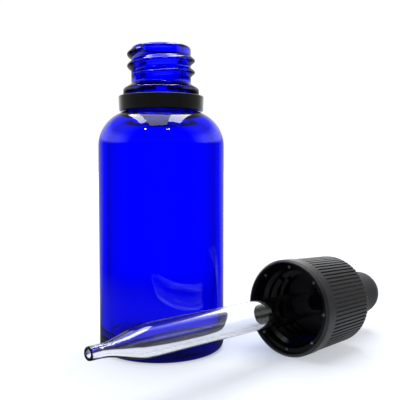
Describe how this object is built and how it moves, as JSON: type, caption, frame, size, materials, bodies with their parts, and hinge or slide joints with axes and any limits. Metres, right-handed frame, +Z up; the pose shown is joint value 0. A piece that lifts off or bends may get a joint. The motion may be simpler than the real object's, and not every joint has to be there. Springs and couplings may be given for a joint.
{
  "type": "dropper bottle",
  "caption": "Round-shouldered cobalt glass dropper bottle standing open, with its loose tamper band and a lying dropper: ribbed push-and-turn cap, rubber bulb and glass pipette.",
  "frame": {"origin": "centre of the bottle's foot, on the surface it stands on", "axes": "+Z up along the bottle's axis; +Y away from the viewer of the open dropper, +X towards the cap"},
  "size_m": [0.0797, 0.0718, 0.0795],
  "materials": {
    "cobalt_glass": "clear cobalt blue flint glass, fire-polished",
    "clear_glass": "clear drawn glass tube",
    "black_plastic": "moulded black polypropylene, fine satin",
    "bulb_rubber": "matte black rubber"
  },
  "bodies": {
    "bottle": {"bottle": "cobalt_glass"},
    "tamper_band": {"tamper_band": "black_plastic"},
    "inner_cap": {"inner_cap": "black_plastic"},
    "outer_cap": {"outer_cap": "black_plastic"},
    "bulb": {"bulb": "bulb_rubber"},
    "pipette": {"pipette": "clear_glass"}
  },
  "joints": [
    {"name": "band_spin", "type": "hinge", "parent": "bottle", "child": "tamper_band", "pos_m": [0, 0, 0.0646], "axis": [0, 0, 1], "continuous": true},
    {"name": "dropper_lift", "type": "slide", "parent": "bottle", "child": "inner_cap", "axis": [0, 0, 1], "range_m": [0, 0.12]},
    {"name": "cap_spin", "type": "hinge", "parent": "inner_cap", "child": "bulb", "pos_m": [0.0314, -0.01185, 0.01241], "axis": [0.7357, 0.6765, -0.0337], "continuous": true},
    {"name": "cap_push", "type": "slide", "parent": "bulb", "child": "outer_cap", "axis": [-0.7357, -0.6765, 0.0337], "range_m": [0, 0.0012], "stiffness_N_per_m": 3000},
    {"name": "pipette_pull", "type": "slide", "parent": "bulb", "child": "pipette", "axis": [-0.7357, -0.6765, 0.0337], "range_m": [0, 0.0115]}
  ]
}
